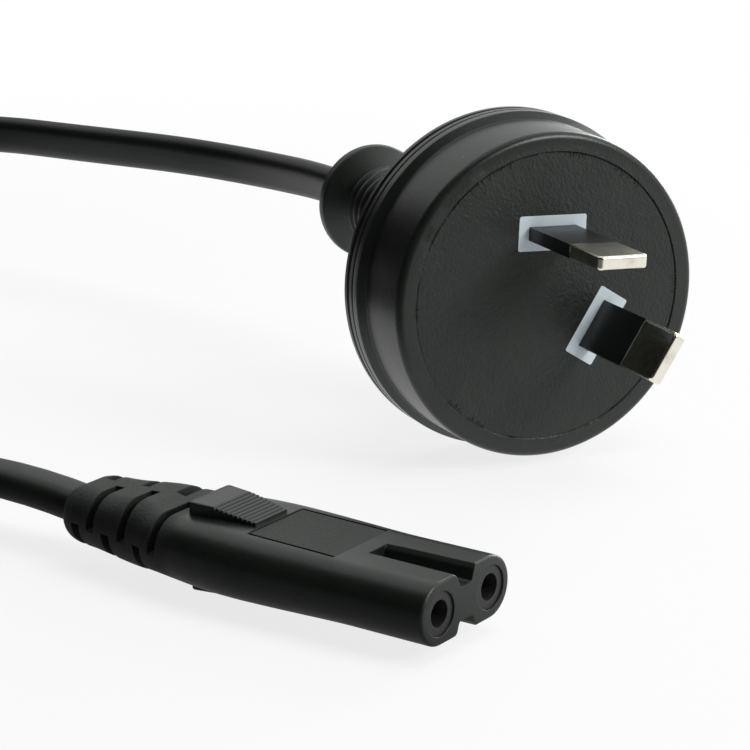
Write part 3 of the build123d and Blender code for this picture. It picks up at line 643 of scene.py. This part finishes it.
def turned_body_tree(material):
    """Outline turned about its axis, bent at the neck, and cut open for two collars."""
    tree, given = new_tree(
        "turned_body",
        ("Turns", "Int"),
        ("Seam Radius", "Float"),
        ("Seam Wander", "Float"),
        ("Seam Lean", "Vector"),
        ("Neck Start", "Float"),
        ("Neck End", "Float"),
        ("Neck Shift", "Vector"),
        ("Collar Size", "Vector"),
        ("Collar Circle", "Float"),
        ("First Angle", "Float"),
        ("Second Angle", "Float"),
    )
    start = given["Geometry"]
    size = add(tree, "GeometryNodeAttributeDomainSize", Geometry=start)
    rows = maths(tree, "ADD", given["Turns"], 1.0)
    sheet = add(tree, "GeometryNodeMeshGrid", Vertices_X=size.outputs["Point Count"], Vertices_Y=rows)
    index = add(tree, "GeometryNodeInputIndex").outputs[0]
    corner = maths(tree, "FLOOR", maths(tree, "DIVIDE", maths(tree, "ADD", index, 0.5), rows))
    row = maths(tree, "SUBTRACT", index, maths(tree, "MULTIPLY", corner, rows))
    here = add(tree, "GeometryNodeInputPosition").outputs[0]
    spot = add(tree, "GeometryNodeSampleIndex", {"data_type": "FLOAT_VECTOR"}, Geometry=start, Index=corner)
    tree.links.new(here, next(s for s in spot.inputs if s.name == "Value" and s.enabled))
    part = add(tree, "ShaderNodeSeparateXYZ", Vector=next(s for s in spot.outputs if s.enabled)).outputs
    angle = maths(tree, "MULTIPLY", maths(tree, "DIVIDE", row, given["Turns"]), 2 * math.pi)
    turned = add(
        tree,
        "ShaderNodeCombineXYZ",
        X=maths(tree, "MULTIPLY", part["X"], maths(tree, "COSINE", angle)),
        Y=maths(tree, "MULTIPLY", part["X"], maths(tree, "SINE", angle)),
        Z=part["Z"],
    )
    body = add(tree, "GeometryNodeSetPosition", Geometry=sheet.outputs["Mesh"], Position=turned.outputs[0])
    body = add(tree, "GeometryNodeMergeByDistance", Geometry=body.outputs[0], Distance=MERGE_BELOW * MM)

    part = add(tree, "ShaderNodeSeparateXYZ", Vector=here).outputs
    depth = maths(tree, "MULTIPLY", part["Z"], -1.0)
    flat = add(tree, "ShaderNodeCombineXYZ", X=part["X"], Y=part["Y"]).outputs[0]
    radius = vector_value(tree, "LENGTH", flat)
    on_ring = maths(tree, "COMPARE", radius, given["Seam Radius"], SEAM_REACH * MM)
    on_ring = maths(tree, "MULTIPLY", on_ring, maths(tree, "LESS_THAN", depth, 1 * MM))
    uneven = maths(tree, "SUBTRACT", 0.5, noise(tree, flat, SEAM_WANDER_SIZE))
    sink = maths(tree, "MULTIPLY", uneven, given["Seam Wander"])
    sink = maths(tree, "SUBTRACT", sink, vector_value(tree, "DOT_PRODUCT", flat, given["Seam Lean"]))
    sink = add(tree, "ShaderNodeCombineXYZ", Z=sink).outputs[0]
    body = add(tree, "GeometryNodeSetPosition", Geometry=body.outputs[0], Selection=on_ring, Offset=sink)

    rise = add(tree, "ShaderNodeMapRange", {"interpolation_type": "SMOOTHSTEP"}, Value=depth)
    tree.links.new(given["Neck Start"], rise.inputs["From Min"])
    tree.links.new(given["Neck End"], rise.inputs["From Max"])
    shift = add(tree, "ShaderNodeVectorMath", {"operation": "SCALE"}, Vector=given["Neck Shift"])
    tree.links.new(rise.outputs["Result"], shift.inputs["Scale"])
    body = add(tree, "GeometryNodeSetPosition", Geometry=body.outputs[0], Offset=shift.outputs[0])

    for label in ("First Angle", "Second Angle"):
        out = add(tree, "ShaderNodeCombineXYZ", X=given["Collar Circle"]).outputs[0]
        turn = add(tree, "ShaderNodeCombineXYZ", Z=given[label]).outputs[0]
        at = add(tree, "ShaderNodeVectorRotate", {"rotation_type": "EULER_XYZ"}, Vector=out, Rotation=turn)
        block = add(tree, "GeometryNodeMeshCube", Size=given["Collar Size"]).outputs[0]
        block = add(tree, "GeometryNodeTransform", Geometry=block, Translation=at.outputs[0], Rotation=turn)
        cut = add(tree, "GeometryNodeMeshBoolean", {"operation": "DIFFERENCE", "solver": "EXACT"})
        tree.links.new(body.outputs[0], cut.inputs["Mesh 1"])
        tree.links.new(block.outputs[0], cut.inputs["Mesh 2"])
        body = cut
    close_tree(tree, body.outputs[0], material)
    return tree


def plug_body(material):
    """Moulded body of the plug, in place of its plain solid."""
    outline = plug_outline()
    edges = [(i, i + 1) for i in range(len(outline) - 1)]
    start = bpy.data.meshes.new("plug_outline")
    start.from_pydata([(p.x * MM, 0, p.y * MM) for p in outline], edges, [])
    values = {
        "Turns": BODY_TURNS,
        "Seam Radius": SEAM_R * MM,
        "Seam Wander": SEAM_WANDER * MM,
        "Seam Lean": plug_place.to_3x3().inverted() @ Vector(SEAM_LEAN),
        "Neck Start": NECK_BEND_FROM * MM,
        "Neck End": FLANGE_ROOT * MM,
        "Neck Shift": neck_shift,
        "Collar Size": (COLLAR_THICK * MM, COLLAR_WIDTH * MM, 2 * COLLAR_DEPTH * MM),
        "Collar Circle": PIN_CIRCLE_R * MM,
        "First Angle": math.radians(PIN_ANGLES[0]),
        "Second Angle": math.radians(PIN_ANGLES[1]),
    }
    mesh = grow("plug_body_turned", start, turned_body_tree(material), values)
    mesh.transform(plug_place)
    tidy(mesh)
    return add_piece("plug_body_turned", mesh, material, "plug_pvc", "plug_body")


# Flash left along the parting ring of the face
FLASH_COUNT, FLASH_SLIVER, FLASH_PATCH = 260, (0.75, 0.09, 0.1), 7
FLASH_ABOVE = 0.56


def flash_tree(material):
    """Torn slivers in patches round a ring, each lying inwards from it."""
    tree, given = new_tree(
        "parting_flash",
        ("Radius", "Float"),
        ("Count", "Int"),
        ("Sliver", "Vector"),
        ("Patch", "Float"),
        ("Seed", "Int"),
    )
    seed = given["Seed"]
    ring = add(tree, "GeometryNodeMeshCircle", Vertices=given["Count"], Radius=given["Radius"])
    here = add(tree, "GeometryNodeInputPosition").outputs[0]
    part = add(tree, "ShaderNodeSeparateXYZ", Vector=here).outputs
    patches = add(tree, "ShaderNodeTexNoise", Vector=here, Scale=given["Patch"], Detail=1.0)
    torn = maths(tree, "GREATER_THAN", patches.outputs["Fac"], FLASH_ABOVE)
    round_it = maths(tree, "ARCTAN2", part["Y"], part["X"])
    turn = add(tree, "ShaderNodeCombineXYZ", Z=maths(tree, "ADD", round_it, chance(tree, -0.5, 0.5, seed)))
    length = chance(tree, 0.2, 1.0, maths(tree, "ADD", seed, 1.0))
    scale = add(tree, "ShaderNodeCombineXYZ", X=length, Y=chance(tree, 0.5, 1.2, seed), Z=1.0)
    inward = (-0.5, 0, 0.3)
    shift = add(tree, "ShaderNodeVectorMath", {"operation": "MULTIPLY"}, _0=given["Sliver"], _1=inward)
    sliver = add(tree, "GeometryNodeMeshCube", Size=given["Sliver"])
    sliver = add(tree, "GeometryNodeTransform", Geometry=sliver.outputs[0], Translation=shift.outputs[0])
    slivers = add(
        tree,
        "GeometryNodeInstanceOnPoints",
        Points=ring.outputs[0],
        Selection=torn,
        Instance=sliver.outputs[0],
        Rotation=turn.outputs[0],
        Scale=scale.outputs[0],
    )
    close_tree(tree, slivers.outputs[0], material)
    return tree


def parting_flash(material):
    """Torn flash along the parting ring."""
    values = {
        "Radius": SEAM_R * MM,
        "Count": FLASH_COUNT,
        "Sliver": Vector(FLASH_SLIVER) * MM,
        "Patch": 1 / (FLASH_PATCH * MM),
        "Seed": 4,
    }
    mesh = grow("parting_flash", bpy.data.meshes.new("parting_ring"), flash_tree(material), values)
    mesh.transform(plug_place)
    tidy(mesh, smooth_below=20)
    return add_piece("parting_flash", mesh, material, "plug_pvc")


# Cord: its section, the distances behind the plug's face where it starts, and its route
CORD_WIDTH, CORD_THICK, CORD_GIRTH = 5.8, 3.6, 16.0
CORD_LEAVES = (51.0, 63.0)
PLUG_ROUTE = (
    (-19.4, 84.4, 23.8),
    (-32.2, 94.6, 24.2),
    (-47.2, 106.8, 23.8),
    (-66.8, 122.9, 23.4),
    (-86.1, 128.2, 21.4),
    (-105.7, 124.2, 17.4),
    (-120.5, 112.3, 12.8),
    (-128.8, 96.3, 9.4),
    (-132.9, 80.9, 8.9),
)
CONNECTOR_ROUTE = ((-91.3, 4.1, 2.9), (-75.3, -1.7, 2.6), (-59.6, -8.3, 5.0), (-43.6, -17.9, 6.8))

# Coil: its columns and layers of turns, and the share of a turn over which it moves to the next one
COIL_AT = (-100.4, 49.4)
COIL_COLUMNS = (26.9, 31.1, 35.3, 39.5)
COIL_LAYERS = (2.95, 8.8)
COIL_START, COIL_END = 165.0, 250.0
STEP_FROM, STEP_TO = 0.25, 0.43

# Lengths along the cord: upright this far from the plug, and turned flat on its way to the connector
UPRIGHT_AFTER, FLAT_FROM, FLAT_OVER = 90.0, 85.0, 55.0

# Tie round the coil, as the outline of its section, and the strap's lapped tail
TIE_ANGLE, TIE_THICK, TIE_WIDTH, TIE_LIFT_WITHIN = 60.0, 0.8, 8.0, 22.0
TIE_INNER, TIE_OUTER, TIE_LOW, TIE_HIGH = 24.3, 42.1, 0.4, 13.0
TIE_TOP_OUTER, TIE_SHOULDER = 36.7, 5.4
TIE_TOP_R, TIE_FOOT_R, TIE_LAP_R, TIE_LAP_GAP = 2.2, 1.6, 2.4, 0.05
TAIL_START, TAIL_END, TAIL_STRAIGHT, TAIL_ROUND = 27.5, 34.9, 6.0, 3.0
TAIL_STEPS, TAIL_NARROWEST = (TAIL_ROUND, 1.5, 0.5, 0.0), 0.98
STRAP_SECTION = ((-1, -0.4), (-0.94, -1), (0.94, -1), (1, -0.4), (1, 0.4), (0.94, 1), (-0.94, 1), (-1, 0.4))
PILE_DENSITY, PILE_HAIR = 2.2e6, 0.22


def coil_turns(count=18):
    """Points of the wound turns: in along the upper layer, then out along the lower one."""
    low, high = COIL_LAYERS
    stops = [(r, high) for r in reversed(COIL_COLUMNS)] + [(r, low) for r in COIL_COLUMNS]
    turns = len(stops) - 1 + (COIL_END - COIL_START) / 360
    steps = round(turns * count)
    # The spline runs inside its points, so they stand a little further out.
    widen = 1 / math.cos(math.pi / count) ** 0.75
    points = []
    for i in range(1, steps):
        turn = i * turns / steps
        lap, part = int(turn), turn - int(turn)
        share = eased((part - STEP_FROM) / (STEP_TO - STEP_FROM))
        (r0, z0), (r1, z1) = stops[lap], stops[min(lap + 1, len(stops) - 1)]
        r, z = r0 + (r1 - r0) * share, z0 + (z1 - z0) * share
        angle = math.radians(COIL_START) + 2 * math.pi * turn
        from_tie = math.degrees(math.remainder(angle - math.radians(TIE_ANGLE), 2 * math.pi))
        if abs(from_tie) < TIE_LIFT_WITHIN:
            z += TIE_THICK
        x, y = COIL_AT[0] + r * widen * math.cos(angle), COIL_AT[1] + r * widen * math.sin(angle)
        points.append((x, y, z))
    return points


def strap_loop():
    """Strap wound once round the coil's section, its tail lapped over its start on top."""
    lap = TIE_HIGH + TIE_THICK + TIE_LAP_GAP
    corners = [(TAIL_START, TIE_HIGH, 0), (TIE_TOP_OUTER, TIE_HIGH, TIE_TOP_R)]
    corners += [(TIE_OUTER, TIE_SHOULDER, TIE_TOP_R), (TIE_OUTER, TIE_LOW, TIE_FOOT_R)]
    corners += [(TIE_INNER, TIE_LOW, TIE_FOOT_R), (TIE_INNER, lap, TIE_LAP_R)]
    corners += [(TAIL_END - left, lap, 0) for left in (TAIL_STRAIGHT,) + TAIL_STEPS]
    path = rounded(corners, 8)
    out = Vector((math.cos(math.radians(TIE_ANGLE)), math.sin(math.radians(TIE_ANGLE)), 0))
    across = Vector((-out.y, out.x, 0))
    middle = Vector((COIL_AT[0], COIL_AT[1], 0))
    half, thick = TIE_WIDTH / 2, TIE_THICK / 2
    rings, run = [], [0.0]
    for i, at in enumerate(path):
        way = (path[min(i + 1, len(path) - 1)] - path[max(i - 1, 0)]).normalized()
        side = Vector((-way.y, way.x))
        in_tail = i >= len(path) - len(TAIL_STEPS)
        past = min(max(1 - (TAIL_END - at.x) / TAIL_ROUND, 0), TAIL_NARROWEST) if in_tail else 0
        wide = half * math.sqrt(1 - past * past)
        ring = []
        for w, t in STRAP_SECTION:
            flat = at + side * (t * thick)
            ring.append((middle + out * flat.x + across * (w * wide) + Vector((0, 0, flat.y))) * MM)
        rings.append(ring)
        if i:
            run.append(run[-1] + (at - path[i - 1]).length * MM)
    return sweep_mesh("strap_loop", rings, run, 2 * TIE_WIDTH)


def pile_tree(material):
    """Short pile standing on every side of a strap but the one it rests on."""
    tree, given = new_tree("strap_pile", ("Density", "Float"), ("Hair", "Float"), ("Seed", "Int"))
    facing = add(tree, "ShaderNodeSeparateXYZ", Vector=add(tree, "GeometryNodeInputNormal").outputs[0])
    spots = add(
        tree,
        "GeometryNodeDistributePointsOnFaces",
        Mesh=given["Geometry"],
        Selection=maths(tree, "GREATER_THAN", facing.outputs["Z"], -0.3),
        Density=given["Density"],
        Seed=given["Seed"],
    )
    thick = maths(tree, "MULTIPLY", given["Hair"], 0.3)
    hair = add(tree, "GeometryNodeMeshCone", Vertices=4, Radius_Bottom=thick, Depth=given["Hair"])
    pile = add(
        tree,
        "GeometryNodeInstanceOnPoints",
        Points=spots.outputs["Points"],
        Instance=hair.outputs["Mesh"],
        Rotation=spots.outputs["Rotation"],
        Scale=chance(tree, 0.5, 1.2, given["Seed"]),
    )
    both = add(tree, "GeometryNodeJoinGeometry")
    tree.links.new(given["Geometry"], both.inputs[0])
    tree.links.new(pile.outputs[0], both.inputs[0])
    close_tree(tree, both.outputs[0], material)
    return tree


def coil_strap(material):
    """Strap with its pile, in place of the plain tie."""
    values = {"Density": PILE_DENSITY, "Hair": PILE_HAIR * MM, "Seed": 11}
    mesh = grow("coil_strap", strap_loop(), pile_tree(material), values)
    tidy(mesh, smooth_below=40)
    return add_piece("coil_strap", mesh, material, "tie_fabric", "coil_tie")


def cord_line():
    """The cord's middle line, read from one smooth spline through the whole route."""
    route = [plug_place @ (Vector((0, 0, -behind * MM)) + neck_shift) for behind in CORD_LEAVES]
    route += [Vector(p) * MM for p in PLUG_ROUTE + tuple(coil_turns()) + CONNECTOR_ROUTE]
    route.append(connector_place @ Vector((0, 0, -BOOT_END * MM)))
    curve = bpy.data.curves.new("cord_line", "CURVE")
    curve.dimensions = "3D"
    curve.resolution_u = 6
    spline = curve.splines.new("NURBS")
    spline.points.add(len(route) - 1)
    for point, at in zip(spline.points, route):
        point.co = (at.x, at.y, at.z, 1)
    spline.order_u = 3
    spline.use_endpoint_u = True
    line = plain_mesh(bpy.data.objects.new("cord_line", curve))
    return np.array([v.co for v in line.vertices])


def oval_section(steps=10):
    """Outline of the flat cord: x along its width, y through its thickness."""
    half, r = (CORD_WIDTH - CORD_THICK) / 2 * MM, CORD_THICK / 2 * MM
    section = []
    for middle, start in ((half, -math.pi / 2), (-half, math.pi / 2)):
        for step in range(steps + 1):
            a = start + math.pi * step / steps
            section.append((middle + r * math.cos(a), r * math.sin(a)))
    return section


def flat_cord(material, tie):
    """Flat sheath along the cord's line: on edge from the plug and in the coil, flat at the connector."""
    line = cord_line()
    run = np.concatenate([[0], np.cumsum(np.linalg.norm(np.diff(line, axis=0), axis=1))])
    along = np.gradient(line, axis=0)
    along /= np.linalg.norm(along, axis=1)[:, None]
    plug_wide = -np.array(plug_place.to_3x3() @ Vector((1, 0, 0)))
    connector_wide = np.array(connector_place.to_3x3() @ Vector((1, 0, 0)))
    upright = np.array(UP)
    section = oval_section()
    rings = []
    for at, t, gone in zip(line, along, run):
        to_upright = min(gone / (UPRIGHT_AFTER * MM), 1)
        to_flat = eased((FLAT_FROM * MM - (run[-1] - gone)) / (FLAT_OVER * MM))
        wide = plug_wide * (1 - to_upright) + upright * to_upright
        wide -= t * wide.dot(t)
        wide /= np.linalg.norm(wide)
        level = np.cross(t, wide)
        level *= math.copysign(1, level.dot(connector_wide))
        turn = to_flat * math.pi / 2
        wide = wide * math.cos(turn) + level * math.sin(turn)
        thick = np.cross(t, wide)
        rings.append([at + wide * x + thick * y for x, y in section])
    mesh = sweep_mesh("flat_cord", rings, run, CORD_GIRTH)
    tidy(mesh, smooth_below=60)
    runs = ("cord_plug_run", "cord_coil", "cord_connector_run")
    cord = add_piece("flat_cord", mesh, material, "cord_sheath", *runs)


set_camera()
set_world()
add_table()
add_curtain()
add_lamps()

# One finish for each material slot of the record
finishes = {
    "white_plastic": plastic("collar_white", (0.58, 0.67, 0.71), (0.66, 0.75, 0.79), 0.5, 0.5, 0.15),
    "sleeve_plastic": plastic("sleeve_black", (0.005, 0.0055, 0.005), (0.008, 0.0088, 0.008), 0.36, 0.4, 0.3),
    "carrier_plastic": plastic("carrier_black", (0.014, 0.015, 0.014), (0.02, 0.021, 0.02), 0.5, 0.4, 0.3),
    "brown_core": plastic("core_brown", (0.12, 0.05, 0.02), (0.16, 0.065, 0.028), 0.5, 0.3, 0.2),
    "blue_core": plastic("core_blue", (0.02, 0.08, 0.3), (0.03, 0.10, 0.36), 0.5, 0.3, 0.2),
    "pin_metal": plated_metal("pin_nickel", plug_place, (0.84, 0.81, 0.71), (0.66, 0.62, 0.51), 0.21),
    "contact_metal": plated_metal(
        "contact_brass", connector_place, (0.7, 0.53, 0.25), (0.52, 0.38, 0.17), 0.3
    ),
    "copper": plated_metal("wire_copper", plug_place, (0.75, 0.38, 0.2), (0.6, 0.28, 0.14), 0.35),
    "connector_pvc": connector_pvc(),
    "plug_pvc": plug_pvc(),
    "cord_sheath": cord_pvc(),
    "tie_fabric": woven_strap(),
}
for part in frame["record"]["subparts"]:
    skin = nodes[part["node"]].data.materials
    skin.clear()
    skin.append(finishes[part["material_slot"]])
plug_body(finishes["plug_pvc"])
parting_flash(finishes["plug_pvc"])
flat_cord(finishes["cord_sheath"], coil_strap(finishes["tie_fabric"]))
